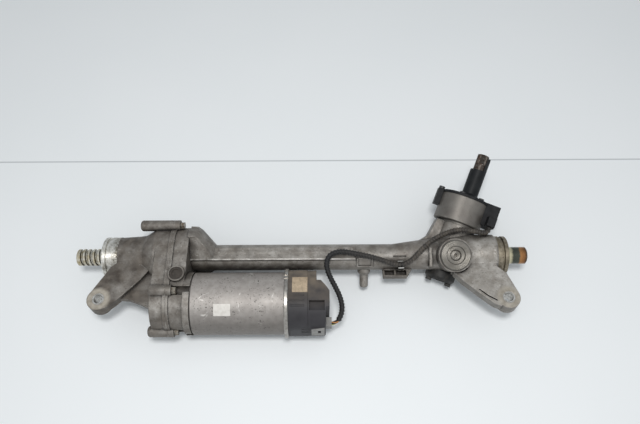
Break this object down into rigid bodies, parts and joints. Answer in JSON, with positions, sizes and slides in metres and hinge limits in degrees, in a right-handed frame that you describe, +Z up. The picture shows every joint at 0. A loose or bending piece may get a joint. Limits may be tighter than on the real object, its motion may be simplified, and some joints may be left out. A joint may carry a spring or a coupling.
{
  "type": "electric power steering rack",
  "caption": "Rack-and-pinion steering gear with a parallel belt-driven assist motor, ball-screw rack and a torque sensor on its pinion tower.",
  "frame": {"origin": "centre of the left mounting bore on its lower seating face", "axes": "+X along the rack from the left mounting bore to the right one, +Y from the motor side to the rack's far side, +Z up along the mounting bolts"},
  "size_m": [0.664, 0.2728, 0.1122],
  "materials": {
    "cast_housing": "as cast, weathered",
    "machined_aluminium": "machined",
    "motor_case": "drawn, mottled",
    "steel": "ground",
    "shaft_steel": "browned steel",
    "bearing_steel": "polished",
    "screw_steel": "zinc plated",
    "laminations": "stacked sheet",
    "magnet": "sintered",
    "copper": "enamelled copper wire",
    "contact_tin": "tinned",
    "pulley_iron": "sintered",
    "black_plastic": "moulded",
    "cover_screws": "black",
    "grey_plastic": "moulded",
    "bush_plastic": "moulded, greased",
    "rubber": "moulded",
    "circuit_board": "solder resist",
    "conduit_plastic": "corrugated, dusty"
  },
  "bodies": {
    "housing": {"rack_housing": "cast_housing", "drive_housing": "cast_housing", "left_mount_sleeve": "steel", "right_mount_sleeve": "steel", "joint_screws": "screw_steel", "inspection_plug": "black_plastic", "rack_bush": "bush_plastic", "yoke": "machined_aluminium", "yoke_liner": "bush_plastic", "yoke_o_rings": "rubber", "yoke_spring": "steel", "yoke_plug": "machined_aluminium", "pinion_lower_bearing": "bearing_steel", "pinion_bearing_outer": "bearing_steel", "pinion_bearing_ring": "steel", "pinion_cap": "black_plastic", "sensor_board": "circuit_board", "sensor_housing": "machined_aluminium", "input_bearing": "bearing_steel", "shaft_seal": "rubber", "sensor_cover": "black_plastic", "sensor_cover_screws": "cover_screws", "dust_sleeve": "black_plastic", "nut_bearing_outer": "bearing_steel", "nut_bearing_ring": "steel", "belt": "rubber", "stator": "laminations", "windings": "copper", "motor_front_bearing_outer": "bearing_steel", "motor_rear_bearing_outer": "bearing_steel", "motor_can": "motor_case", "motor_end_ring": "machined_aluminium", "motor_screws": "screw_steel", "ecu_housing": "black_plastic", "ecu_cover": "black_plastic", "socket_pins": "contact_tin", "control_board": "circuit_board", "sensor_plug": "grey_plastic", "conduit": "conduit_plastic", "conduit_clip": "steel", "tower_plug": "black_plastic"},
    "rack": {"rack_bar": "steel"},
    "pinion": {"pinion": "steel", "pinion_bearing_inner": "bearing_steel", "pickup_ring": "steel"},
    "input_shaft": {"input_shaft": "shaft_steel", "torsion_bar": "steel", "magnet_ring": "magnet"},
    "ball_nut": {"ball_nut": "steel", "ball_return_tube": "steel", "nut_bearing_inner": "bearing_steel", "big_pulley": "pulley_iron"},
    "motor_rotor": {"motor_shaft": "steel", "rotor_core": "laminations", "rotor_magnets": "magnet", "small_pulley": "pulley_iron", "motor_front_bearing_inner": "bearing_steel", "motor_rear_bearing_inner": "bearing_steel"}
  },
  "joints": [
    {"name": "rack_slide", "type": "slide", "parent": "housing", "child": "rack", "axis": [1, 0, 0], "range_m": [-0.066, 0.078]},
    {"name": "pinion_turn", "type": "hinge", "parent": "housing", "child": "pinion", "pos_m": [0.503, 0.0817, -0.01638], "axis": [0.3649, 0.8438, 0.3935], "range_deg": [-497.58, 588.05]},
    {"name": "torsion_twist", "type": "hinge", "parent": "pinion", "child": "input_shaft", "pos_m": [0.503, 0.0817, -0.01638], "axis": [0.3649, 0.8438, 0.3935], "range_deg": [-4.5, 4.5], "stiffness_Nm_per_rad": 143},
    {"name": "nut_turn", "type": "hinge", "parent": "housing", "child": "ball_nut", "pos_m": [0.08, 0.075, -0.002], "axis": [1, 0, 0], "range_deg": [-4011.44, 3394.3]},
    {"name": "motor_turn", "type": "hinge", "parent": "housing", "child": "motor_rotor", "pos_m": [0.18, 0.001, -0.002], "axis": [1, 0, 0], "range_deg": [-9527.15, 8061.44]}
  ],
  "couplings": [
    {"joint": "pinion_turn", "follows": "rack_slide", "rad_per_m": 131.58},
    {"joint": "nut_turn", "follows": "rack_slide", "rad_per_m": -897.6},
    {"joint": "motor_turn", "follows": "rack_slide", "rad_per_m": -2131.8}
  ]
}
